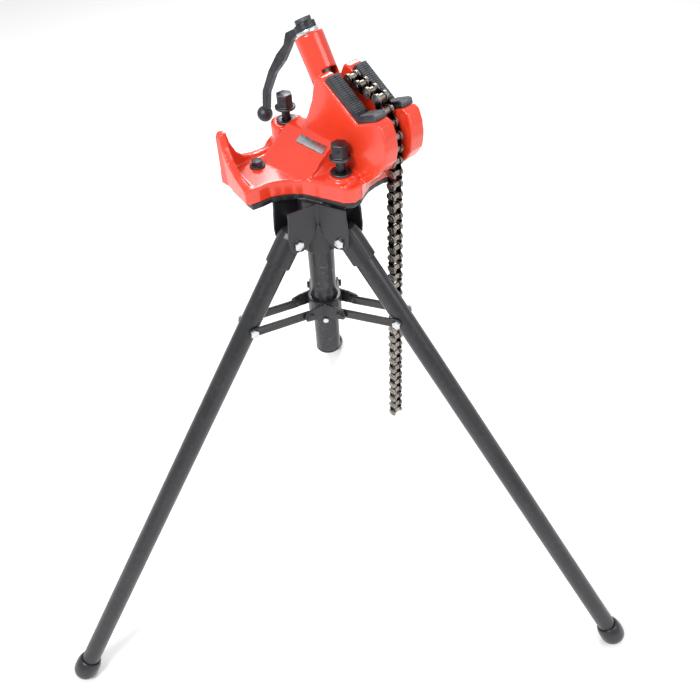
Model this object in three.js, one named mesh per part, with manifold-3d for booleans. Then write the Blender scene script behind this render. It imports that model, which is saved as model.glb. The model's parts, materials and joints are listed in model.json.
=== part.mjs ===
// Portable top-screw chain pipe vise on a folding three-legged stand.
// Millimetres, +Z up. The feet rest on z = 0 and +Y points along the rear leg.
import * as THREE from "three";
import { mergeVertices } from "three/addons/utils/BufferGeometryUtils.js";
import Module from "manifold-3d";

const wasm = await Module();
wasm.setup();

// ---- Stand: driving dimensions
const POST_R = 21.1;
const POST_BORE_R = POST_R - 3.6;
const LEG_R = 16.7;
const LEG_BORE_R = LEG_R - 3.4;
const LEG_LEAN = 34.49;
const LEG_AZIMUTHS = [-150, -30, 90];
const LEG_NAMES = ["left", "right", "rear"];
const LEG_LENGTH = 970;
const PIVOT_R = 51.1;
const FOOT_CENTRE_Z = 22.4;
const PIVOT_Z = FOOT_CENTRE_Z + LEG_LENGTH * Math.cos((LEG_LEAN * Math.PI) / 180);
const SLEEVE_R = LEG_R + 3.8;
const SLEEVE_LENGTH = 48;
const FOOT_R = LEG_R + 8.3;
const FOOT_LENGTH = 46;
const SPREADER_DROP = 164;
const HUB_PIVOT_R = 43;
const HUB_DROP = 148;
const HUB_PIVOT_Z = PIVOT_Z - HUB_DROP;
const POST_BELOW_HUB = 110.9;
const POST_BOTTOM_Z = HUB_PIVOT_Z - POST_BELOW_HUB;
const STRAP_T = 3.2;
const STRAP_HALF_W = 8;
const EAR_T = 4;
const STRAP_IN = LEG_R + 0.7;
const STRAP_OUT = STRAP_IN + STRAP_T;
const YOKE_IN = STRAP_OUT + 0.6;
const YOKE_OUT = YOKE_IN + EAR_T;
const HUB_R = Math.max(POST_R + 6.9, YOKE_OUT + 2.8);
const BOLT_R = 5;
const BOLT_HEAD_R = 8;
const BOLT_HEAD_T = 5;
const HEAD_PLATE_RISE = 66.6;
const HEAD_PLATE_TOP_Z = PIVOT_Z + HEAD_PLATE_RISE;
const HEAD_PLATE_T = 9;

// ---- Vise: driving dimensions, in the vise's own axes
// (v across the pipe towards the horns, u along the pipe, z up)
const PIPE_AZIMUTH = 41.5;
const SLOT_CENTRE_U = 76;
const CHAIN_HALF_W = 10.8;
const CHAIN_SIDE_RUN = 3.2;
const SLOT_W = 2 * (CHAIN_HALF_W + CHAIN_SIDE_RUN);
const CHEEK_T = 26;
const BASE_T = 25;
const VEE_V = 58;
const VEE_Z = HEAD_PLATE_TOP_Z + 121.5;
const ARM_LEFT = 71;
const ARM_RIGHT = 34;
const ARM_LEFT_ANGLE = 34;
const ARM_RIGHT_ANGLE = 22;
const JAW_T = 9;
const JAW_W = 22;
const BARREL_BORE_R = CHAIN_HALF_W + 2.2;
const BARREL_R = BARREL_BORE_R + 9;
const BARREL_V = -47;
const BARREL_Z = VEE_Z + 15;
const BARREL_LEAN = 30;
const BARREL_TOP = 62;
const SPINDLE_R = 9;
const CRANK_T = 12;
const KNOB_R = 13;
const CHAIN_PITCH = 19;
const CHAIN_HALF_H = 8.5;
const TONGUE_HALF = 3.4;
const CHEEK_FACE_U = SLOT_CENTRE_U - SLOT_W / 2 - CHEEK_T;
const FRONT_BOSS = { v: 39, u: CHEEK_FACE_U - 18, r: 20, h: 35, gap: 20 };
const BACK_BOSS = { v: -115, u: 49, r: 26, h: 54, gap: 17 };
const CLAMP_HOLE_R = 7.4;
const SMALL_BOLT = { v: -83, u: -41 };

// ---- Fits
const GAP = 0.3;
const RUN = 0.5;

const DEG = Math.PI / 180;
const Z = new THREE.Vector3(0, 0, 1);

// ---- Solids
function solid(geometry) {
  geometry.deleteAttribute("normal");
  geometry.deleteAttribute("uv");
  const merged = mergeVertices(geometry, 1e-3);
  return new wasm.Manifold(
    new wasm.Mesh({
      numProp: 3,
      vertProperties: merged.attributes.position.array,
      triVerts: new Uint32Array(merged.index.array),
    }),
  );
}

function fuse(pieces) {
  return pieces.reduce((whole, piece) => whole.add(piece));
}

function cut(body, tools) {
  return tools.reduce((rest, tool) => rest.subtract(tool), body);
}

// A round bar between two points.
function bar(a, b, r, segments = 16, r2 = r) {
  const from = new THREE.Vector3(...a);
  const to = new THREE.Vector3(...b);
  const g = new THREE.CylinderGeometry(r2, r, from.distanceTo(to), segments);
  g.rotateX(Math.PI / 2);
  g.translate(0, 0, from.distanceTo(to) / 2);
  const turn = new THREE.Quaternion().setFromUnitVectors(Z, to.clone().sub(from).normalize());
  g.applyQuaternion(turn);
  g.translate(from.x, from.y, from.z);
  return solid(g);
}

function block(lo, hi) {
  const g = new THREE.BoxGeometry(hi[0] - lo[0], hi[1] - lo[1], hi[2] - lo[2]);
  g.translate((lo[0] + hi[0]) / 2, (lo[1] + hi[1]) / 2, (lo[2] + hi[2]) / 2);
  return solid(g);
}

// An outline in the first two axes raised along the third.
function slab(points, low, high) {
  const shape = new THREE.Shape(points.map((p) => new THREE.Vector2(...p)));
  const g = new THREE.ExtrudeGeometry(shape, { depth: high - low, bevelEnabled: false });
  g.translate(0, 0, low);
  return g;
}

// A profile in (v, z) given a width along u; the vise's axes are x = v, y = u.
function upright(points, low, high) {
  const g = slab(points, -high, -low);
  g.rotateX(Math.PI / 2);
  return solid(g);
}

// A profile in (u, z) given a width along v.
function wall(points, low, high) {
  const g = slab(points, low, high);
  g.applyMatrix4(new THREE.Matrix4().set(0, 0, 1, 0, 1, 0, 0, 0, 0, 1, 0, 0, 0, 0, 0, 1));
  return solid(g);
}

function turned(profile, segments = 16) {
  const g = new THREE.LatheGeometry(profile.map((p) => new THREE.Vector2(...p)), segments);
  g.rotateX(Math.PI / 2);
  return solid(g);
}

function smoothOutline(points, count) {
  const curve = new THREE.CatmullRomCurve3(
    points.map(([x, y]) => new THREE.Vector3(x, y, 0)),
    true,
    "centripetal",
  );
  return curve.getSpacedPoints(count).slice(0, count).map((p) => [p.x, p.y]);
}

// ---- Scene
const group = new THREE.Group();
const stand = new THREE.Group();
const vise = new THREE.Group();
group.add(stand);
stand.add(vise);
vise.matrixAutoUpdate = false;
// v points at the pipe's azimuth less a right angle, u along the pipe: x = v, y = u.
vise.matrix.makeRotationZ((PIPE_AZIMUTH - 90) * DEG);

function metal(color, roughness, metalness) {
  return new THREE.MeshStandardMaterial({ color, roughness, metalness });
}

const BLACK = [0x1b1c1e, 0.5, 0.3];
const ZINC = [0xb9bcc0, 0.3, 1];
const DARK = [0x34373b, 0.45, 0.8];
const RED = [0xc8371f, 0.3, 0.2];

function place(name, body, look, parent = stand) {
  const made = body.getMesh();
  const g = new THREE.BufferGeometry();
  g.setAttribute("position", new THREE.BufferAttribute(made.vertProperties, made.numProp));
  g.setIndex(new THREE.BufferAttribute(made.triVerts, 1));
  const flat = g.toNonIndexed();
  flat.computeVertexNormals();
  const mesh = new THREE.Mesh(flat, metal(...look));
  mesh.name = name;
  parent.add(mesh);
  return mesh;
}

// ---- Stand post
const headPlateBottom = HEAD_PLATE_TOP_Z - HEAD_PLATE_T;
const socketTop = headPlateBottom - 4;
const postTop = socketTop - 2;
const ring = (inner, outer, low, high) => [
  [inner, low],
  [outer, low],
  [outer, high],
  [inner, high],
  [inner, low],
];
place("post", turned(ring(POST_BORE_R, POST_R, POST_BOTTOM_Z + 8, postTop), 20), BLACK);
place(
  "post_cap",
  turned([
    [0, POST_BOTTOM_Z],
    [13, POST_BOTTOM_Z + 0.8],
    [19, POST_BOTTOM_Z + 3.5],
    [POST_R + 0.6, POST_BOTTOM_Z + 7.7],
    [POST_BORE_R - GAP, POST_BOTTOM_Z + 7.7],
    [POST_BORE_R - GAP, POST_BOTTOM_Z + 24],
    [0, POST_BOTTOM_Z + 24],
  ]),
  BLACK,
);

// ---- Vise base outline: three lobes joined by hollow curves
const baseOutline = smoothOutline(
  [
    [-37, -95], [-31, -60], [-7, -27], [26, -13], [48, -5], [66, 2], [74, 16], [70, 34],
    [60, 52], [58, 98], [70, 112], [40, 122], [-20, 118], [-70, 102], [-105, 84], [-136, 72],
    [-146, 48], [-136, 22], [-123, 2], [-120, -36], [-121, -66], [-118, -77], [-104, -82],
    [-62, -91],
  ],
  44,
);
const shrink = (points, by) => {
  const cx = -25;
  const cy = 20;
  return points.map(([x, y]) => {
    const d = Math.hypot(x - cx, y - cy);
    return [cx + ((x - cx) * (d - by)) / d, cy + ((y - cy) * (d - by)) / d];
  });
};

// ---- Stand head: plate under the vise, socket for the post, and a clevis for each leg
const earIn = SLEEVE_R + 0.7;
const earOut = earIn + EAR_T;
const turnBy = (body, degrees) => body.rotate([0, 0, degrees]);
const intoStand = (body) => turnBy(body, PIPE_AZIMUTH - 90);
const earProfile = [
  [20, PIVOT_Z + 4],
  [34, PIVOT_Z - 10],
  [PIVOT_R - 8, PIVOT_Z - 15],
  [PIVOT_R + 6, PIVOT_Z - 14],
  [PIVOT_R + 14, PIVOT_Z - 5],
  [PIVOT_R + 15, PIVOT_Z + 10],
  [PIVOT_R + 11, headPlateBottom + 1],
  [10, headPlateBottom + 1],
];
const boltHole = (r, half, z = PIVOT_Z, at = PIVOT_R) => bar([at, -half, z], [at, half, z], r, 16);
let head = intoStand(solid(slab(shrink(baseOutline, 2.5), headPlateBottom, HEAD_PLATE_TOP_Z)));
head = head.add(bar([0, 0, PIVOT_Z - 34], [0, 0, headPlateBottom + 1], HUB_R, 20));
for (const azimuth of LEG_AZIMUTHS)
  for (const side of [-1, 1]) {
    const [low, high] = side < 0 ? [-earOut, -earIn] : [earIn, earOut];
    head = head.add(turnBy(upright(earProfile, low, high), azimuth));
  }
head = cut(head, [
  bar([0, 0, PIVOT_Z - 40], [0, 0, socketTop], POST_R + GAP, 20),
  ...LEG_AZIMUTHS.map((azimuth) => turnBy(boltHole(BOLT_R + GAP, 40), azimuth)),
  ...[FRONT_BOSS, BACK_BOSS].map(({ v, u }) =>
    intoStand(bar([v, u, headPlateBottom - 20], [v, u, HEAD_PLATE_TOP_Z + 10], CLAMP_HOLE_R, 16)),
  ),
]);
place("head", head, BLACK);

// ---- Legs, drawn hanging straight down from the pivot and leaned out about it
const BELOW = 2 * LEG_LENGTH;
const tubeTop = PIVOT_Z - 14;
const footBottom = PIVOT_Z - LEG_LENGTH - FOOT_LENGTH / 2;
const legPinZ = PIVOT_Z - SPREADER_DROP;
const footProfile = [
  [0, footBottom],
  [14, footBottom + 2],
  [22, footBottom + 8],
  [FOOT_R, footBottom + 17],
  [FOOT_R, footBottom + 29],
  [22.5, footBottom + 37],
  [18.5, footBottom + FOOT_LENGTH],
  [0, footBottom + FOOT_LENGTH],
];
const lean = LEG_LEAN * DEG;
const leanOut = (body) =>
  body
    .translate([-PIVOT_R, 0, -PIVOT_Z])
    .rotate([0, -LEG_LEAN, 0])
    .translate([PIVOT_R, 0, PIVOT_Z]);
LEG_AZIMUTHS.forEach((azimuth, i) => {
  const leg = `leg_${LEG_NAMES[i]}`;
  const set = (body) => turnBy(leanOut(body), azimuth);
  const x = PIVOT_R;
  const tube = cut(bar([x, 0, footBottom + 16], [x, 0, tubeTop], LEG_R, 18), [
    bar([x, 0, footBottom + 10], [x, 0, tubeTop + 5], LEG_BORE_R, 20),
    boltHole(4 + GAP, 30, legPinZ),
  ]);
  place(`${leg}_tube`, set(tube), BLACK);
  const dome = solid(new THREE.SphereGeometry(SLEEVE_R, 16, 8).rotateX(Math.PI / 2));
  const sleeve = cut(
    fuse([
      bar([x, 0, PIVOT_Z - SLEEVE_LENGTH], [x, 0, PIVOT_Z], SLEEVE_R, 16),
      dome.translate([x, 0, PIVOT_Z]),
    ]),
    [
      bar([x, 0, PIVOT_Z - SLEEVE_LENGTH - 5], [x, 0, tubeTop + GAP], LEG_R + GAP, 18),
      boltHole(BOLT_R + RUN, 40),
    ],
  );
  place(`${leg}_sleeve`, set(sleeve), BLACK);
  const footBody = set(
    cut(turned(footProfile).translate([x, 0, 0]), [
      bar([x, 0, footBottom + 16 - GAP], [x, 0, footBottom + FOOT_LENGTH + 5], LEG_R + GAP, 18),
    ]),
  );
  place(`${leg}_foot`, footBody.subtract(block([-BELOW, -BELOW, -60], [BELOW, BELOW, 0])), BLACK);
  place(`${leg}_cross_pin`, set(boltHole(4, LEG_R - 0.2, legPinZ)), ZINC);
  const pivotBolt = fuse([
    boltHole(BOLT_R, earOut + GAP + 1),
    bar([x, -earOut - GAP - BOLT_HEAD_T, PIVOT_Z], [x, -earOut - GAP, PIVOT_Z], BOLT_HEAD_R, 6),
    bar([x, earOut + GAP, PIVOT_Z], [x, earOut + GAP + BOLT_HEAD_T, PIVOT_Z], BOLT_HEAD_R, 6),
  ]);
  place(`${leg}_pivot_bolt`, turnBy(pivotBolt, azimuth), ZINC);
});

// ---- Sliding hub: collar with three yokes, each yoke's studs carry a pair of straps
const yokeProfile = [
  [14, HUB_PIVOT_Z - 14],
  [34, HUB_PIVOT_Z - 12],
  [HUB_PIVOT_R + 6, HUB_PIVOT_Z - 9],
  [HUB_PIVOT_R + 10, HUB_PIVOT_Z],
  [HUB_PIVOT_R + 6, HUB_PIVOT_Z + 9],
  [34, HUB_PIVOT_Z + 12],
  [14, HUB_PIVOT_Z + 12],
];
const lockZ = HUB_PIVOT_Z - 20;
let hub = bar([0, 0, HUB_PIVOT_Z - 27], [0, 0, HUB_PIVOT_Z + 13], HUB_R, 20);
for (const azimuth of LEG_AZIMUTHS)
  for (const side of [-1, 1]) {
    const span = [YOKE_IN * side, YOKE_OUT * side].sort((a, b) => a - b);
    hub = hub.add(turnBy(upright(yokeProfile, ...span), azimuth));
    const stud = (from, to, r, n) =>
      bar([HUB_PIVOT_R, from * side, HUB_PIVOT_Z], [HUB_PIVOT_R, to * side, HUB_PIVOT_Z], r, n);
    const studs = stud(STRAP_IN - 0.3, YOKE_OUT, 4, 10).add(stud(YOKE_OUT - 1, YOKE_OUT + 4.5, 6.5, 6));
    hub = hub.add(turnBy(studs, azimuth));
  }
hub = cut(hub, [
  bar([0, 0, HUB_PIVOT_Z - 40], [0, 0, HUB_PIVOT_Z + 40], POST_R + RUN, 20),
  bar([0, -60, lockZ], [0, 0, lockZ], 3 + GAP, 10),
]);
place("hub", hub, BLACK);
const lockScrew = bar([0, -HUB_R - 1, lockZ], [0, -POST_R - 2, lockZ], 3, 12);
place(
  "hub_lock_screw",
  lockScrew.add(bar([0, -HUB_R - 5, lockZ], [0, -HUB_R - GAP, lockZ], 4.5, 16)),
  ZINC,
);

// ---- Spreader straps from the hub studs to the legs
const legPin = [PIVOT_R + SPREADER_DROP * Math.sin(lean), PIVOT_Z - SPREADER_DROP * Math.cos(lean)];
const strapSpan = Math.hypot(legPin[0] - HUB_PIVOT_R, legPin[1] - HUB_PIVOT_Z);
const strapTilt = Math.atan2(legPin[1] - HUB_PIVOT_Z, legPin[0] - HUB_PIVOT_R) / DEG;
const roundEnds = (length, r, n = 4) => {
  const points = [];
  for (const [cx, start] of [[length, -90], [0, 90]])
    for (let k = 0; k <= n; k += 1) {
      const t = (start + (180 * k) / n) * DEG;
      points.push([cx + r * Math.cos(t), r * Math.sin(t)]);
    }
  return points;
};
const layStrap = (body) =>
  body.rotate([0, -strapTilt, 0]).translate([HUB_PIVOT_R, 0, HUB_PIVOT_Z]);
LEG_AZIMUTHS.forEach((azimuth, i) => {
  for (const [side, hand] of [[-1, "a"], [1, "b"]]) {
    const span = [STRAP_IN * side, STRAP_OUT * side].sort((a, b) => a - b);
    const strap = cut(upright(roundEnds(strapSpan, STRAP_HALF_W), ...span), [
      bar([0, -60, 0], [0, 60, 0], 4 + GAP, 10),
      bar([strapSpan, -60, 0], [strapSpan, 60, 0], 3 + GAP, 10),
    ]);
    place(`strap_${LEG_NAMES[i]}_${hand}`, turnBy(layStrap(strap), azimuth), BLACK);
    const at = (from, to, r, n) => bar([strapSpan, from * side, 0], [strapSpan, to * side, 0], r, n);
    const bolt = at(STRAP_IN + 0.1, STRAP_OUT + 1, 3, 10).add(
      at(STRAP_OUT + GAP, STRAP_OUT + BOLT_HEAD_T, 7.5, 6),
    );
    place(`strap_bolt_${LEG_NAMES[i]}_${hand}`, turnBy(layStrap(bolt), azimuth), ZINC);
  }
});

// ---- Vise body: base plate, bosses, pipe saddle, two cheeks with horns, screw barrel
const eyeS = -22;
const baseBottom = HEAD_PLATE_TOP_Z + GAP;
const baseTop = baseBottom + BASE_T;
const axisV = -Math.sin(BARREL_LEAN * DEG);
const axisZ = Math.cos(BARREL_LEAN * DEG);
const onAxis = (s) => [BARREL_V + s * axisV, SLOT_CENTRE_U, BARREL_Z + s * axisZ];
const alongScrew = (from, to, r, n = 18) => bar(onAxis(from), onAxis(to), r, n);
const angled = (length, degrees) => [length * Math.cos(degrees * DEG), length * Math.sin(degrees * DEG)];
const leftTip = angled(ARM_LEFT, 180 - ARM_LEFT_ANGLE);
const rightTip = angled(ARM_RIGHT, ARM_RIGHT_ANGLE);
const leftDown = angled(JAW_T, -90 - ARM_LEFT_ANGLE);
const rightDown = angled(JAW_T, -90 + ARM_RIGHT_ANGLE);
const veeHalf = (180 - ARM_LEFT_ANGLE - ARM_RIGHT_ANGLE) / 2;
const veeDown = JAW_T / Math.sin(veeHalf * DEG);
const jawTopLeft = [VEE_V + leftTip[0], VEE_Z + leftTip[1]];
const jawTopRight = [VEE_V + rightTip[0], VEE_Z + rightTip[1]];
const jawFootLeft = [jawTopLeft[0] + leftDown[0], jawTopLeft[1] + leftDown[1]];
const jawFootRight = [jawTopRight[0] + rightDown[0], jawTopRight[1] + rightDown[1]];
const jawFootVee = [VEE_V, VEE_Z - veeDown];
const lower = ([v, z]) => [v, z - GAP];
const aboveBase = ([v, rise]) => [v, baseTop + rise];
const cheekProfile = [
  [-78, -5], [-66, 36], [-48, 66], [-36, 92], [-30, 116], [-22, 132], [-12, 132],
].map(aboveBase).concat([lower(jawFootLeft), lower(jawFootVee), lower(jawFootRight)], [
  [103, 96], [110, 80], [113, 60], [111, 40], [101, 24], [87, 10], [74, -2], [62, -5],
].map(aboveBase));
const cheekSpans = [
  [CHEEK_FACE_U, CHEEK_FACE_U + CHEEK_T],
  [SLOT_CENTRE_U + SLOT_W / 2, SLOT_CENTRE_U + SLOT_W / 2 + CHEEK_T],
];
const bridge = [
  [-76, -5], [-66, 36], [-52, 58], [-40, 71], [34, 71], [48, 52], [54, -5],
].map(aboveBase);
const finTop = baseTop + 60;
const saddle = [
  [-86, baseBottom + 1], [-84, finTop - 6], [-80, finTop], [-72, finTop], [-67, finTop - 20],
  [-58, finTop - 38], [-44, finTop - 50], [-26, baseTop + 5], [0, baseTop + 3], [30, baseTop + 3],
  [36, baseBottom + 1],
];
const gusset = [
  [-119, baseBottom + 1], [-119, finTop - 2], [-109, finTop - 2], [-103, baseTop + 38],
  [-90, baseTop + 21], [-68, baseTop + 8], [-46, baseTop + 2], [-38, baseTop - 2],
  [-38, baseBottom + 1],
];
// The shoulder rises from the front rim up to the front cheek.
const shoulderFoot = [-24, baseTop + 0.5];
const shoulderTop = [34, baseTop + 38];
const shoulderSlope = (shoulderTop[1] - shoulderFoot[1]) / (shoulderTop[0] - shoulderFoot[0]);
const onShoulder = (u, lift) => [u, shoulderFoot[1] + (u - shoulderFoot[0]) * shoulderSlope + lift];
const shoulder = [
  [-24, baseBottom + 1], shoulderFoot, shoulderTop, [60, baseTop + 42], [60, baseBottom + 1],
];
const lowShoulder = [
  [-24, baseBottom + 1], shoulderFoot, [34, baseTop + 8.5], [60, baseTop + 12], [60, baseBottom + 1],
];
const baseBand = solid(slab(baseOutline, baseBottom, baseTop + 60));
const column = ({ v, u, r, h }, n = 18) => bar([v, u, baseTop - 5], [v, u, baseTop - 25 + h], r, n);
const GUSSET_TURN = -13;
const gussetShift = [0, -97, 0];
let body = fuse([
  solid(slab(baseOutline, baseBottom, baseTop)),
  column(FRONT_BOSS),
  column(BACK_BOSS),
  ...cheekSpans.map((span) => upright(cheekProfile, ...span)),
  upright(bridge, SLOT_CENTRE_U - SLOT_W / 2 - 1, SLOT_CENTRE_U + SLOT_W / 2 + 1),
  wall(saddle, -119, -106),
  upright(gusset, -12, 0).rotate([0, 0, GUSSET_TURN]).translate(gussetShift),
  wall(shoulder, -96, 8).intersect(baseBand),
  wall(lowShoulder, 4, 62).intersect(baseBand),
  alongScrew(eyeS - 22, BARREL_TOP, BARREL_R, 20),
]);
const clampHole = ({ v, u }) =>
  bar([v, u, baseBottom - 30], [v, u, baseTop + 90], CLAMP_HOLE_R, 16);
// The chain leaves the barrel through a window on the vee side.
const corner = (s, out) => [
  BARREL_V + s * axisV + out * axisZ,
  BARREL_Z + s * axisZ - out * axisV,
];
const chainWindow = [
  corner(eyeS - 20, 0), corner(eyeS - 20, 90), corner(eyeS + 31, 90), corner(eyeS + 31, 0),
];
body = cut(body, [
  upright(chainWindow, SLOT_CENTRE_U - SLOT_W / 2, SLOT_CENTRE_U + SLOT_W / 2),
  alongScrew(eyeS - 16, BARREL_TOP - 10, BARREL_BORE_R, 16),
  alongScrew(BARREL_TOP - 20, BARREL_TOP + 10, SPINDLE_R + RUN, 20),
  clampHole(FRONT_BOSS),
  clampHole(BACK_BOSS),
]);
place("vise_body", body, RED, vise);

// ---- Vee jaws on the cheeks
const jawProfile = [
  jawFootVee, jawFootRight, jawTopRight, [VEE_V, VEE_Z], jawTopLeft, jawFootLeft,
];
["front", "rear"].forEach((name, i) => {
  const middle = (cheekSpans[i][0] + cheekSpans[i][1]) / 2;
  const jaw = upright(jawProfile, middle - JAW_W / 2, middle + JAW_W / 2);
  place(`jaw_${name}`, jaw, DARK, vise);
});

// ---- Clamp bolts that hold the vise to the head plate
for (const [name, boss] of [["front", FRONT_BOSS], ["back", BACK_BOSS]]) {
  const top = baseTop - 25 + boss.h;
  const headLow = top + 4 + boss.gap;
  const up = (from, to, r, n = 16) => bar([boss.v, boss.u, from], [boss.v, boss.u, to], r, n);
  const nutTop = headPlateBottom - GAP;
  place(
    `clamp_bolt_${name}`,
    fuse([
      up(nutTop - 14, headLow + 1, 6.8, 16),
      up(nutTop - 11, nutTop, 12, 6),
      up(headLow, headLow + 4, 16.5, 16),
      up(headLow + 3, headLow + 24, 13, 6),
    ]),
    DARK,
    vise,
  );
  const washer = cut(up(top + GAP, top + 3.5, 16, 16), [up(top - 5, top + 9, 7.4, 16)]);
  place(`clamp_washer_${name}`, washer, DARK, vise);
}
const smallUp = (from, to, r, n) =>
  bar([SMALL_BOLT.v, SMALL_BOLT.u, from], [SMALL_BOLT.v, SMALL_BOLT.u, to], r, n);
place(
  "lug_bolt",
  smallUp(baseTop + GAP, baseTop + 2.5, 12, 20).add(smallUp(baseTop + 2, baseTop + 10, 9, 6)),
  DARK,
  vise,
);
place(
  "plain_plate",
  wall([onShoulder(16, GAP), onShoulder(16, 2), onShoulder(27, 2), onShoulder(27, GAP)], -56, 2),
  [0x8b8f94, 0.5, 0.6],
  vise,
);

// ---- Screw: spindle with its thrust collar, crank, knob and cap nut
const collarTop = BARREL_TOP + 6;
const crankTop = collarTop + 10;
const capTop = crankTop + 7;
place("spindle", alongScrew(12, crankTop + 3, SPINDLE_R, 16), ZINC, vise);
const aroundScrew = (from, to, r, n = 18) =>
  cut(alongScrew(from, to, r, n), [alongScrew(from - 5, to + 5, SPINDLE_R + GAP, 16)]);
place("thrust_collar", aroundScrew(BARREL_TOP + 0.4, collarTop, 17, 16), ZINC, vise);
place(
  "cap_nut",
  cut(alongScrew(crankTop + GAP, capTop, 13.5, 6), [
    alongScrew(crankTop - 5, crankTop + 3 + GAP, SPINDLE_R + GAP, 16),
  ]),
  DARK,
  vise,
);
// The crank leans down and out from the screw; drawn in its own plane, then swung round the axis.
const CRANK_SWING = 10;
const knobAt = [153, -15.4];
const crankStart = [14, (collarTop + crankTop) / 2];
const crankLine = [
  { at: crankStart, w: 4.2 },
  { at: [34, 71], w: 7 },
  { at: [47, 60], w: 5 },
  { at: [68, 50], w: 7.5 },
  { at: [98, 36], w: 5.5 },
  { at: [128, 14], w: 5 },
  { at: [knobAt[0] - 9, knobAt[1] + 6], w: 4.5 },
];
const crankEdge = (side) =>
  crankLine.map(({ at, w }, i) => {
    const before = crankLine[Math.max(0, i - 1)].at;
    const after = crankLine[Math.min(crankLine.length - 1, i + 1)].at;
    const along = new THREE.Vector2(after[0] - before[0], after[1] - before[1]).normalize();
    return [at[0] - along.y * w * side, at[1] + along.x * w * side];
  });
const crankOutline = [...crankEdge(-1), ...crankEdge(1).reverse()];
const onScrew = (solidBody) =>
  solidBody
    .rotate([0, 0, CRANK_SWING])
    .rotate([0, -BARREL_LEAN, 0])
    .translate([BARREL_V, SLOT_CENTRE_U, BARREL_Z]);
const armSide = upright(crankOutline.map(([r, s]) => [-r, s]).reverse(), -CRANK_T / 2, CRANK_T / 2);
const crank = cut(
  fuse([
    bar([0, 0, collarTop + GAP], [0, 0, crankTop], 16, 16),
    armSide,
  ]),
  [bar([0, 0, collarTop - 20], [0, 0, crankTop + 20], SPINDLE_R + GAP, 16)],
);
const knobBall = solid(new THREE.SphereGeometry(KNOB_R, 14, 8)).translate([-knobAt[0], 0, knobAt[1]]);
const knobSpace = solid(new THREE.SphereGeometry(KNOB_R + GAP, 14, 8)).translate([-knobAt[0], 0, knobAt[1]]);
place("crank", onScrew(crank.subtract(knobSpace)), DARK, vise);
place("knob", onScrew(knobBall), DARK, vise);

// ---- Draw block in the barrel; the chain starts at its lower eye
const [eyeV, , eyeZ] = onAxis(eyeS);
const drawBlock = cut(
  fuse([
    alongScrew(eyeS + 14, 26, BARREL_BORE_R - RUN, 16),
    alongScrew(eyeS, eyeS + 15, 8, 20).intersect(
      block([-200, SLOT_CENTRE_U - TONGUE_HALF, baseTop], [100, SLOT_CENTRE_U + TONGUE_HALF, baseTop + 300]),
    ),
    bar([eyeV, SLOT_CENTRE_U - TONGUE_HALF, eyeZ], [eyeV, SLOT_CENTRE_U + TONGUE_HALF, eyeZ], 8, 20),
  ]),
  [
    alongScrew(eyeS + 16, 40, SPINDLE_R + GAP, 16),
    bar([eyeV, 0, eyeZ], [eyeV, 200, eyeZ], 3.8, 14),
  ],
);
place("draw_block", drawBlock, DARK, vise);

// ---- Chain: stiff runs of links, hinged on cross pins
const chainRuns = [
  { name: "anchor", links: 3, angle: 36 },
  { name: "over_vee", links: 3, angle: -13 },
  { name: "over_horn", links: 3, angle: -62 },
  { name: "hang_1", links: 6, angle: -90 },
  { name: "hang_2", links: 8, angle: -90 },
  { name: "hang_3", links: 8, angle: -90 },
  { name: "hang_4", links: 8, angle: -90 },
];
// A run has a fork of two outer plates at its start and a single tongue at its end.
const linkRow = (from, to, half) => {
  const pieces = [];
  for (let k = from; k < to; k += 1)
    pieces.push(
      upright(roundEnds(CHAIN_PITCH, CHAIN_HALF_H, 3), -half, half).translate([k * CHAIN_PITCH, 0, 0]),
    );
  return fuse(pieces);
};
const FORK_IN = TONGUE_HALF + 0.5;
const FORK_DEPTH = CHAIN_PITCH - CHAIN_HALF_H;
const PIN_R = 3.4;
let chainV = eyeV;
let chainZ = eyeZ;
for (const [i, { name, links, angle }] of chainRuns.entries()) {
  const last = i === chainRuns.length - 1;
  const length = links * CHAIN_PITCH;
  let run = linkRow(0, links, CHAIN_HALF_W - 1.5);
  run = run.subtract(
    block([-20, -FORK_IN, -20], [FORK_DEPTH, FORK_IN, 20]),
  );
  if (!last)
    for (const side of [-1, 1]) {
      const span = [TONGUE_HALF * side, 20 * side].sort((a, b) => a - b);
      run = run.subtract(
        block([length - CHAIN_HALF_H - RUN, span[0], -20], [length + 20, span[1], 20]),
      );
    }
  for (let k = 0; k < links; k += 1)
    run = run.add(
      bar([k * CHAIN_PITCH, -CHAIN_HALF_W, 0], [k * CHAIN_PITCH, CHAIN_HALF_W, 0], PIN_R, 8),
    );
  if (last) run = run.add(bar([length, -CHAIN_HALF_W, 0], [length, CHAIN_HALF_W, 0], PIN_R, 8));
  else run = run.subtract(bar([length, -20, 0], [length, 20, 0], PIN_R + 2 * GAP, 8));
  place(
    `chain_${name}`,
    run.rotate([0, -angle, 0]).translate([chainV, SLOT_CENTRE_U, chainZ]),
    [0x6d675f, 0.4, 0.9],
    vise,
  );
  chainV += length * Math.cos(angle * DEG);
  chainZ += length * Math.sin(angle * DEG);
}

// The feet stand symmetrically about the frame's origin.
const footprint = new THREE.Box3().setFromObject(stand);
stand.position.y = -(footprint.min.y + footprint.max.y) / 2;

export default group;
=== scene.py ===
import json
import math

import bmesh
import bpy
from mathutils import Matrix, Vector


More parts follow.
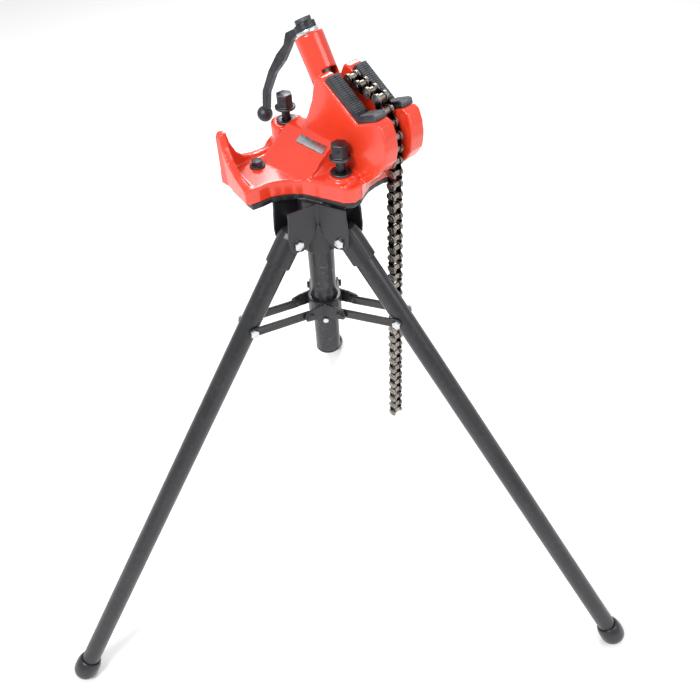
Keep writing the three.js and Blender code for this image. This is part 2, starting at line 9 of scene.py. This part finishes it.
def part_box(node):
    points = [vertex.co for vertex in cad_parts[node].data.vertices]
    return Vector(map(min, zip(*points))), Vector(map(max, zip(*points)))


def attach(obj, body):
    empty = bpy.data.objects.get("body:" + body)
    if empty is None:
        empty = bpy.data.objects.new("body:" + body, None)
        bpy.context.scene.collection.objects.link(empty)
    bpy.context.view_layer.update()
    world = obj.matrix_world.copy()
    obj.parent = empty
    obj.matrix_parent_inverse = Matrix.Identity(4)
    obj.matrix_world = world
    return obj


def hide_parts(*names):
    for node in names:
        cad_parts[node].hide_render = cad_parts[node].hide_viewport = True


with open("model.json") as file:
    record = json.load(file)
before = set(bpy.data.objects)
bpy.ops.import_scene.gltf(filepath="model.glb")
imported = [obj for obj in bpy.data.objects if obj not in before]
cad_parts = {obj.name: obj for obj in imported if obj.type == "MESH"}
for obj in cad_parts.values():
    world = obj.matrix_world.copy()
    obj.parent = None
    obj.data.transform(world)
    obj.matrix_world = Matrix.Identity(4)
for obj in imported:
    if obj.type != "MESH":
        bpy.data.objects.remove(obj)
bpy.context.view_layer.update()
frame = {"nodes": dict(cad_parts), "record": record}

NODES = frame["nodes"]
RECORD = frame["record"]
BODIES = RECORD["behaviour"]["bodies"]
JOINTS = {joint["name"]: joint for joint in RECORD["behaviour"]["joints"]}
SLOTS = {entry["node"]: entry["material_slot"] for entry in RECORD["subparts"]}
BODY_OF = {node: body for body, nodes in BODIES.items() for node in nodes}
LEGS = ("left", "right", "rear")
MM = 0.001
WELD_DISTANCE = 2e-6

# The pipe's direction is the chain hinges' axis; ACROSS points from the screw to the horns.
PIPE = Vector(JOINTS["chain_anchor_hinge"]["axis"]).normalized()
UP = Vector((0, 0, 1))
ACROSS = PIPE.cross(UP).normalized()


# ---- Node material helpers
def new_material(name):
    material = bpy.data.materials.new(name)
    material.use_nodes = True
    return material, material.node_tree, material.node_tree.nodes["Principled BSDF"]


def noise(tree, scale, detail=4.0, roughness=0.55, stretch=(1, 1, 1)):
    """Object-space noise, so that the pattern stays on the piece when it moves."""
    place = tree.nodes.new("ShaderNodeTexCoord")
    mapping = tree.nodes.new("ShaderNodeMapping")
    mapping.inputs["Scale"].default_value = stretch
    texture = tree.nodes.new("ShaderNodeTexNoise")
    texture.inputs["Scale"].default_value = scale
    texture.inputs["Detail"].default_value = detail
    texture.inputs["Roughness"].default_value = roughness
    tree.links.new(place.outputs["Object"], mapping.inputs["Vector"])
    tree.links.new(mapping.outputs["Vector"], texture.inputs["Vector"])
    return texture.outputs["Fac"]


def ramp(tree, source, stops):
    node = tree.nodes.new("ShaderNodeValToRGB")
    elements = node.color_ramp.elements
    while len(elements) < len(stops):
        elements.new(0.5)
    for element, (position, color) in zip(elements, stops):
        element.position = position
        element.color = (*color, 1)
    tree.links.new(source, node.inputs["Fac"])
    return node.outputs["Color"]


def grey(value):
    return (value, value, value)


def mix(tree, factor, first, second):
    node = tree.nodes.new("ShaderNodeMix")
    node.data_type = "RGBA"
    tree.links.new(factor, node.inputs["Factor"])
    for socket, value in ((node.inputs["A"], first), (node.inputs["B"], second)):
        if isinstance(value, tuple):
            socket.default_value = (*value, 1)
        else:
            tree.links.new(value, socket)
    return node.outputs["Result"]


def add_bump(tree, shader, layers):
    """layers: (height source, strength, distance in metres), stacked."""
    below = None
    for source, strength, distance in layers:
        bump = tree.nodes.new("ShaderNodeBump")
        bump.inputs["Strength"].default_value = strength
        bump.inputs["Distance"].default_value = distance
        tree.links.new(source, bump.inputs["Height"])
        if below is not None:
            tree.links.new(below, bump.inputs["Normal"])
        below = bump.outputs["Normal"]
    tree.links.new(below, shader.inputs["Normal"])


def edge_mask(tree, low, high):
    """Bright on outside edges, where paint or oil wears off."""
    geometry = tree.nodes.new("ShaderNodeNewGeometry")
    return ramp(tree, geometry.outputs["Pointiness"], [(low, grey(0)), (high, grey(1))])


def times(tree, first, second):
    node = tree.nodes.new("ShaderNodeMath")
    node.operation = "MULTIPLY"
    tree.links.new(first, node.inputs[0])
    tree.links.new(second, node.inputs[1])
    return node.outputs[0]


def enamel(name, light, dark, roughness, orange_peel, wear_color, coat):
    """Paint over metal: cloudy tone, orange peel, fine scuffs and worn outside edges."""
    material, tree, shader = new_material(name)
    tone = ramp(tree, noise(tree, 9, 5), [(0.35, dark), (0.65, light)])
    scuffs = ramp(tree, noise(tree, 260, 8, 0.7, (1, 1, 0.3)), [(0.66, grey(0)), (0.74, grey(1))])
    edges = times(tree, edge_mask(tree, 0.56, 0.66), ramp(
        tree, noise(tree, 120, 6, 0.7), [(0.52, grey(0)), (0.62, grey(1))]))
    scuff_color = tuple(min(1, c * 1.6 + 0.02) for c in light)
    scuffed = mix(tree, times(tree, scuffs, noise(tree, 14)), tone, scuff_color)
    color = mix(tree, edges, scuffed, wear_color)
    tree.links.new(color, shader.inputs["Base Color"])
    dull = ramp(tree, noise(tree, 22, 6), [(0.3, grey(roughness * 0.8)), (0.75, grey(roughness * 1.35))])
    tree.links.new(dull, shader.inputs["Roughness"])
    shader.inputs["Coat Weight"].default_value = coat
    shader.inputs["Coat Roughness"].default_value = 0.12
    add_bump(tree, shader, [
        (noise(tree, 420, 3), orange_peel, 0.0004),
        (noise(tree, 60, 3), orange_peel * 1.4, 0.0009),
    ])
    return material


def bare_metal(name, light, dark, roughness, grain, pits):
    """Plated, forged or oiled metal: mottled tone, brushed grain and small pits."""
    material, tree, shader = new_material(name)
    tone = ramp(tree, noise(tree, 45, 6, 0.65), [(0.32, dark), (0.68, light)])
    edges = edge_mask(tree, 0.54, 0.64)
    bright = tuple(min(1, c * 1.7 + 0.05) for c in light)
    tree.links.new(mix(tree, edges, tone, bright), shader.inputs["Base Color"])
    shader.inputs["Metallic"].default_value = 1.0
    dull = ramp(tree, noise(tree, 90, 7), [(0.3, grey(roughness * 0.7)), (0.7, grey(roughness * 1.4))])
    tree.links.new(dull, shader.inputs["Roughness"])
    add_bump(tree, shader, [
        (noise(tree, 900, 2, 0.5, (1, 1, 0.15)), grain, 0.0002),
        (noise(tree, 210, 5, 0.7), pits, 0.0005),
    ])
    return material


MATERIALS = {
    "stand_black": enamel(
        "stand_black", (0.016, 0.0165, 0.02), (0.009, 0.0095, 0.012), 0.34, 0.12, (0.12, 0.12, 0.125), 0.12),
    "vise_red": enamel(
        "vise_red", (0.80, 0.052, 0.018), (0.70, 0.036, 0.012), 0.22, 0.14, (0.5, 0.035, 0.015), 0.6),
    "zinc": bare_metal("zinc", (0.74, 0.75, 0.77), (0.56, 0.57, 0.59), 0.24, 0.1, 0.08),
    "forged": bare_metal("forged", (0.10, 0.105, 0.115), (0.045, 0.048, 0.055), 0.42, 0.15, 0.35),
    "plate": bare_metal("plate", (0.42, 0.44, 0.46), (0.32, 0.34, 0.36), 0.4, 0.3, 0.1),
    "chain_steel": bare_metal("chain_steel", (0.34, 0.31, 0.28), (0.15, 0.13, 0.115), 0.33, 0.12, 0.3),
}


# ---- Mesh helpers
def finish_piece(obj, node, slot=None):
    """Gives a Blender piece the material and the body of its CAD node."""
    slot = slot or SLOTS[node]
    obj.data.materials.clear()
    obj.data.materials.append(MATERIALS[slot])
    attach(obj, BODY_OF[node])
    return obj


def object_from(bm, name, angle=35):
    bmesh.ops.recalc_face_normals(bm, faces=bm.faces)
    mesh = bpy.data.meshes.new(name)
    bm.to_mesh(mesh)
    bm.free()
    obj = bpy.data.objects.new(name, mesh)
    bpy.context.scene.collection.objects.link(obj)
    mesh.set_sharp_from_angle(angle=math.radians(angle))
    for polygon in mesh.polygons:
        polygon.use_smooth = True
    return obj


def bevel(obj, width, segments=2, angle=35):
    modifier = obj.modifiers.new("edge", "BEVEL")
    modifier.width = width
    modifier.segments = segments
    modifier.limit_method = "ANGLE"
    modifier.angle_limit = math.radians(angle)
    modifier.harden_normals = True
    return obj


def welded_copy(node):
    """The CAD node's mesh with its split corners joined again."""
    bm = bmesh.new()
    bm.from_mesh(NODES[node].data)
    bm.transform(NODES[node].matrix_world)
    bmesh.ops.remove_doubles(bm, verts=bm.verts, dist=WELD_DISTANCE)
    return bm


def cast_piece(node, name, voxel, rounds, skins=()):
    """The CAD solid as a casting or forging: every edge softened by a fine remesh.

    skins are round stretches that cover the solid's flats before the remesh.
    """
    bm = welded_copy(node)
    for skin in skins:
        bm.from_mesh(skin)
    rough = object_from(bm, name + "_rough")
    remesh = rough.modifiers.new("skin", "REMESH")
    remesh.mode = "VOXEL"
    remesh.voxel_size = voxel
    smooth = rough.modifiers.new("soften", "SMOOTH")
    smooth.factor = 0.5
    smooth.iterations = rounds
    bpy.context.view_layer.update()
    graph = bpy.context.evaluated_depsgraph_get()
    mesh = bpy.data.meshes.new_from_object(rough.evaluated_get(graph))
    obj = bpy.data.objects.new(name, mesh)
    bpy.context.scene.collection.objects.link(obj)
    bpy.data.objects.remove(rough)
    for polygon in mesh.polygons:
        polygon.use_smooth = True
    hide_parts(node)
    return finish_piece(obj, node)


def axes_along(start, direction, side=PIPE):
    """A matrix whose +Z runs along direction from start, with +Y near side."""
    z = direction.normalized()
    x = side.cross(z)
    x = (x if x.length > 1e-6 else Vector((1, 0, 0))).normalized()
    y = z.cross(x)
    turn = Matrix((x, y, z)).transposed().to_4x4()
    return Matrix.Translation(start) @ turn


def turned_mesh(place, profile, segments):
    """A mesh turned about place's Z axis from (radius, height) points that close on themselves."""
    bm = bmesh.new()
    rings = []
    for k in range(segments):
        turn = 2 * math.pi * k / segments
        rings.append([
            bm.verts.new(place @ Vector((r * math.cos(turn), r * math.sin(turn), h))) for r, h in profile
        ])
    count = len(profile)
    for k in range(segments):
        here, there = rings[k], rings[(k + 1) % segments]
        for j in range(count):
            bm.faces.new((here[j], there[j], there[(j + 1) % count], here[(j + 1) % count]))
    bmesh.ops.remove_doubles(bm, verts=bm.verts, dist=1e-7)
    return bm


def turned_piece(name, node, place, profile, segments=56):
    obj = object_from(turned_mesh(place, profile, segments), name)
    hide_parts(node)
    return finish_piece(obj, node)


def prism(bm, place, outline, low, high):
    """Adds an outline in place's X and Z, as thick along its Y as low to high."""
    sides = [[bm.verts.new(place @ Vector((x, y, z))) for x, z in outline] for y in (low, high)]
    bm.faces.new(sides[0])
    bm.faces.new(sides[1][::-1])
    for k in range(len(outline)):
        after = (k + 1) % len(outline)
        bm.faces.new((sides[0][k], sides[1][k], sides[1][after], sides[0][after]))


# ---- Round sizes that the CAD's many-sided solids stand for
LEG_R = 16.7 * MM
LEG_LENGTH = 970 * MM
TUBE_START = 14.2 * MM
TUBE_INTO_FOOT = 6 * MM
TUBE_WALL = 3.4 * MM
TUBE_CHAMFER = 0.6 * MM
POST_R = 21.1 * MM
POST_BORE = 17.5 * MM
BARREL_R = 22 * MM
BARREL_SKIN_IN = 17 * MM
BARREL_TOP = 62 * MM
BOSS_RISE = 10.3 * MM
BARREL_SKIN_LOW = 24 * MM


# ---- Stand
def leg_axis(leg):
    """The pivot of a leg and the way its tube runs at rest, from its hinge and its foot."""
    pivot = Vector(JOINTS[f"leg_{leg}_fold"]["pos_m"])
    axis = Vector(JOINTS[f"leg_{leg}_fold"]["axis"])
    low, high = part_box(f"leg_{leg}_foot")
    toward = (Vector(low) + Vector(high)) / 2 - pivot
    toward -= axis * toward.dot(axis)
    return pivot, toward.normalized()


def build_leg(leg):
    pivot, along = leg_axis(leg)
    out = axes_along(pivot, along)
    start, end = TUBE_START, LEG_LENGTH + TUBE_INTO_FOOT
    turned_piece(f"{leg}_tube", f"leg_{leg}_tube", out, [
        (LEG_R - TUBE_WALL, start), (LEG_R - TUBE_CHAMFER, start), (LEG_R, start + TUBE_CHAMFER),
        (LEG_R, end - TUBE_CHAMFER), (LEG_R - TUBE_CHAMFER, end), (LEG_R - TUBE_WALL, end),
    ])
    cap = [(17.1, -22.7), (18.6, -22.9), (20.2, -21.5), (21, -18.6), (22.4, -14.5), (23.2, -9.5),
           (23.4, -4), (23.4, 3), (22.7, 8.5), (20.8, 14), (17.7, 17.8), (13.6, 20.3), (8, 21.9),
           (0, 22.3),
           (0, 7.4), (17.1, 7.4)]
    knob_profile = [(r * MM, LEG_LENGTH + h * MM) for r, h in cap]
    piece = turned_piece(f"{leg}_foot_knob", f"leg_{leg}_foot", out, knob_profile)
    for vertex in piece.data.vertices:
        vertex.co.z = max(vertex.co.z, 0.0)


for leg_name in LEGS:
    build_leg(leg_name)
    cast_piece(f"leg_{leg_name}_sleeve", f"{leg_name}_forged_end", 0.9 * MM, 4)

cast_piece("head", "head_casting", 1.3 * MM, 3)
cast_piece("hub", "hub_casting", 0.9 * MM, 3)

post_low, post_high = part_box("post")
post_foot = Vector(((post_low[0] + post_high[0]) / 2, (post_low[1] + post_high[1]) / 2, post_low[2]))
post_height = post_high[2] - post_low[2]
turned_piece("post_tube", "post", Matrix.Translation(post_foot), [
    (POST_BORE, 0), (POST_R - 0.5 * MM, 0), (POST_R, 0.5 * MM),
    (POST_R, post_height), (POST_BORE, post_height),
])
cap_foot = Vector((post_foot.x, post_foot.y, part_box("post_cap")[0][2]))
turned_piece("post_end_cap", "post_cap", Matrix.Translation(cap_foot), [
    (r * MM, h * MM)
    for r, h in ((0, 0), (6, 0.1), (12, 0.7), (17, 2.2), (20, 4.2), (21.4, 6.4), (21.5, 7.6),
                 (17.2, 7.6), (17.2, 23.8), (0, 23.8))
])

# ---- Vise casting, crank and knob
screw = JOINTS["screw_turn"]
screw_axis = Vector(screw["axis"]).normalized()


def barrel_skin():
    """A round sleeve over the barrel's flats, from just above its chain window to its rim."""
    collar = Vector(screw["pos_m"])
    barrel = axes_along(collar, screw_axis)
    mesh = bpy.data.meshes.new("barrel_skin")
    bm = turned_mesh(barrel, [
        (BARREL_SKIN_IN, BARREL_SKIN_LOW), (BARREL_R, BARREL_SKIN_LOW),
        (BARREL_R, BARREL_TOP), (BARREL_SKIN_IN, BARREL_TOP),
    ], 72)
    bmesh.ops.recalc_face_normals(bm, faces=bm.faces)
    bm.to_mesh(mesh)
    bm.free()
    return mesh


def shoulder_blend():
    """A slope from the shoulder's side down to the front boss, in place of an upright wall."""
    base_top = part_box("clamp_washer_front")[0][2] - BOSS_RISE

    def corner(across, along, rise):
        middle = Vector((post_foot.x, post_foot.y, base_top))
        return middle + ACROSS * across * MM + PIPE * along * MM + UP * rise * MM

    bm = bmesh.new()
    top, foot, back, toe = (
        bm.verts.new(corner(*place))
        for place in ((4, 34, 37), (4, -22, 0), (4, 36, -4), (27, 35, 6))
    )
    below = bm.verts.new(corner(14, 20, -4))
    for face in ((top, foot, toe), (top, toe, back), (top, back, foot),
                 (foot, below, toe), (toe, below, back), (back, below, foot)):
        bm.faces.new(face)
    bmesh.ops.recalc_face_normals(bm, faces=bm.faces)
    mesh = bpy.data.meshes.new("shoulder_blend")
    bm.to_mesh(mesh)
    bm.free()
    return mesh


cast_piece("vise_body", "vise_casting", 1.5 * MM, 13, [barrel_skin(), shoulder_blend()])
cast_piece("crank", "crank_forging", 0.7 * MM, 9)

knob_low, knob_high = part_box("knob")
knob_centre = (Vector(knob_low) + Vector(knob_high)) / 2
KNOB_R = 12.7 * MM
ball = [(KNOB_R * math.sin(t * math.pi / 20), -KNOB_R * math.cos(t * math.pi / 20)) for t in range(21)]
turned_piece("ball_knob", "knob", axes_along(knob_centre, screw_axis), ball, 48)


# ---- Vee jaws: the CAD block with a row of teeth along each arm
def jaw_profile(node):
    """The jaw's corners in (across, up), measured on its mesh."""
    points = {(round(v.co.dot(ACROSS), 5), round(v.co.z, 5)) for v in NODES[node].data.vertices}
    foot = min(points, key=lambda p: p[1])
    vee = min((p for p in points if p != foot), key=lambda p: abs(p[0] - foot[0]))
    left = max(points, key=lambda p: p[1])
    right = max((p for p in points if p[0] > vee[0]), key=lambda p: p[1])
    return Vector(vee), Vector(left), Vector(right)


TOOTH_PITCH = 3.4 * MM
TOOTH_RISE = 1.5 * MM


def build_teeth(node, name):
    vee, left, right = jaw_profile(node)
    along = [v.co.dot(PIPE) for v in NODES[node].data.vertices]
    low, high = min(along) + 1 * MM, max(along) - 1 * MM
    pitch, rise = TOOTH_PITCH, TOOTH_RISE
    bm = bmesh.new()
    place = Matrix((ACROSS, PIPE, UP)).transposed().to_4x4()
    for tip in (left, right):
        run = tip - vee
        way = run.normalized()
        normal = Vector((-way.y, way.x))
        if normal.y < 0:
            normal = -normal
        for k in range(int((run.length - 6 * MM) / pitch)):
            start = vee + way * (4 * MM + k * pitch)
            sunk = start - normal * 0.4 * MM
            outline = [sunk, sunk + way * pitch * 0.96, start + way * pitch * 0.7 + normal * rise,
                       start + way * pitch * 0.45 + normal * rise]
            middle = (low + high) / 2
            for side_low, side_high in ((low, middle - 0.6 * MM), (middle + 0.6 * MM, high)):
                prism(bm, place, [(p.x, p.y) for p in outline], side_low, side_high)
    return finish_piece(object_from(bm, name, 25), node)


build_teeth("jaw_front", "front_jaw_teeth")
build_teeth("jaw_rear", "rear_jaw_teeth")

# ---- Chain: plates, rollers and riveted pins, laid along each stiff run
PITCH = 19 * MM
PLATE_R = 8.1 * MM
PLATE_WAIST = 5.4 * MM
PIN_R = 3.2 * MM
ROLLER_R = 5.4 * MM
PIN_HALF = 10.6 * MM
ROLLER_HALF = 5.3 * MM
OUTER_PLATES = (8.1 * MM, 10.0 * MM)
INNER_PLATES = (5.7 * MM, 7.7 * MM)
PLATE_STEP = math.radians(15.5)
LAST_RUN_LINKS = 8
RUNS = ("anchor", "over_vee", "over_horn", "hang_1", "hang_2", "hang_3", "hang_4")


def plate_outline():
    """A figure-of-eight side plate between two pins."""
    points = []
    for centre, start in ((PITCH, -1), (0, 1)):
        for k in range(-7, 8):
            turn = k * PLATE_STEP
            reach = PLATE_R * math.cos(turn)
            points.append((centre - start * reach, -start * PLATE_R * math.sin(turn)))
        points.append((PITCH / 2, start * PLATE_WAIST))
    return points


def circle(centre, radius, count):
    return [
        (centre + radius * math.cos(2 * math.pi * k / count), radius * math.sin(2 * math.pi * k / count))
        for k in range(count)
    ]


def build_chain():
    starts = [Vector(JOINTS[f"chain_{run}_hinge"]["pos_m"]) for run in RUNS]
    index = 0
    for number, run in enumerate(RUNS):
        start = starts[number]
        last = number == len(RUNS) - 1
        along = (starts[number + 1] - start) if not last else Vector((0, 0, -LAST_RUN_LINKS * PITCH))
        links = round(along.length / PITCH)
        x = along.normalized()
        place = Matrix.Translation(start) @ Matrix((x, PIPE, x.cross(PIPE))).transposed().to_4x4()
        bm = bmesh.new()
        for k in range(links):
            shift = place @ Matrix.Translation((k * PITCH, 0, 0))
            low, high = OUTER_PLATES if index % 2 == 0 else INNER_PLATES
            prism(bm, shift, plate_outline(), low, high)
            prism(bm, shift, plate_outline(), -high, -low)
            prism(bm, shift, circle(0, PIN_R, 14), -PIN_HALF, PIN_HALF)
            if index > 0:
                prism(bm, shift, circle(0, ROLLER_R, 20), -ROLLER_HALF, ROLLER_HALF)
            index += 1
        if last:
            end = place @ Matrix.Translation((links * PITCH, 0, 0))
            prism(bm, end, circle(0, PIN_R, 14), -PIN_HALF, PIN_HALF)
            prism(bm, end, circle(0, ROLLER_R, 20), -ROLLER_HALF, ROLLER_HALF)
        obj = object_from(bm, f"chain_{run}_links")
        bevel(obj, 0.35 * MM, 2, 40)
        node = f"chain_{run}"
        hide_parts(node)
        finish_piece(obj, node)


build_chain()

# ---- CAD nodes that keep their own mesh: material, rounded edges and smooth shading
EDGE = {"strap": 0.6, "jaw": 1.1, "clamp_bolt": 1.0, "clamp_washer": 0.7, "plain_plate": 0.3}
for node_name, node in NODES.items():
    if node.hide_render:
        continue
    width = next((w for start, w in EDGE.items() if node_name.startswith(start)), 0.5)
    for polygon in node.data.polygons:
        polygon.use_smooth = True
    weld = node.modifiers.new("weld", "WELD")
    weld.merge_threshold = WELD_DISTANCE
    bevel(node, width * MM, 2, 30)
    node.data.materials.clear()
    node.data.materials.append(MATERIALS[SLOTS[node_name]])

# ---- Camera: above and in front, slightly rolled
CAMERA_LENS = 40.11
CAMERA_PLACE = (0.0294, -1.1733, 1.5157)
YAW, PITCH_DOWN, ROLL = math.radians(0.46), math.radians(43.29), math.radians(-3.37)
camera_data = bpy.data.cameras.new("camera")
camera_data.lens = CAMERA_LENS
camera_data.sensor_width = 36
camera = bpy.data.objects.new("camera", camera_data)
bpy.context.scene.collection.objects.link(camera)
forward = Vector((
    math.sin(YAW) * math.cos(PITCH_DOWN), math.cos(YAW) * math.cos(PITCH_DOWN), -math.sin(PITCH_DOWN)))
level = Vector((math.cos(YAW), -math.sin(YAW), 0))
lift = level.cross(forward)
right_hand = level * math.cos(ROLL) + lift * math.sin(ROLL)
top_side = lift * math.cos(ROLL) - level * math.sin(ROLL)
camera.matrix_world = Matrix.Translation(CAMERA_PLACE) @ Matrix(
    (right_hand, top_side, -forward)).transposed().to_4x4()
bpy.context.scene.camera = camera

# ---- Floor and studio light
FLOOR_HALF = 30.0
FLOOR_Z = -0.5 * MM
floor_mesh = bpy.data.meshes.new("floor")
floor_corners = [
    (x * FLOOR_HALF, y * FLOOR_HALF, FLOOR_Z) for x, y in ((-1, -1), (1, -1), (1, 1), (-1, 1))
]
floor_mesh.from_pydata(floor_corners, [], [(0, 1, 2, 3)])
floor = bpy.data.objects.new("floor", floor_mesh)
bpy.context.scene.collection.objects.link(floor)
floor_material, _, floor_shader = new_material("floor")
floor_shader.inputs["Base Color"].default_value = (0.96, 0.96, 0.96, 1)
floor_shader.inputs["Roughness"].default_value = 0.75
floor_mesh.materials.append(floor_material)


def area_light(name, place, target, size, power):
    data = bpy.data.lights.new(name, "AREA")
    data.shape = "DISK"
    data.size = size
    data.energy = power
    obj = bpy.data.objects.new(name, data)
    bpy.context.scene.collection.objects.link(obj)
    obj.location = place
    obj.rotation_mode = "QUATERNION"
    obj.rotation_quaternion = (Vector(target) - Vector(place)).to_track_quat("-Z", "Y")


area_light("key", (-1.6, -2.2, 3.4), (0, 0, 0.8), 1.4, 95)
area_light("fill", (2.6, -1.6, 2.4), (0, 0, 0.7), 2.0, 30)
area_light("back", (0.4, 2.6, 2.8), (0, 0, 0.9), 1.6, 60)
world = bpy.data.worlds.new("studio")
world.use_nodes = True
backdrop = world.node_tree.nodes["Background"]
backdrop.inputs["Color"].default_value = (1, 1, 1, 1)
backdrop.inputs["Strength"].default_value = 0.7
bpy.context.scene.world = world
bpy.context.scene.view_settings.view_transform = "Standard"
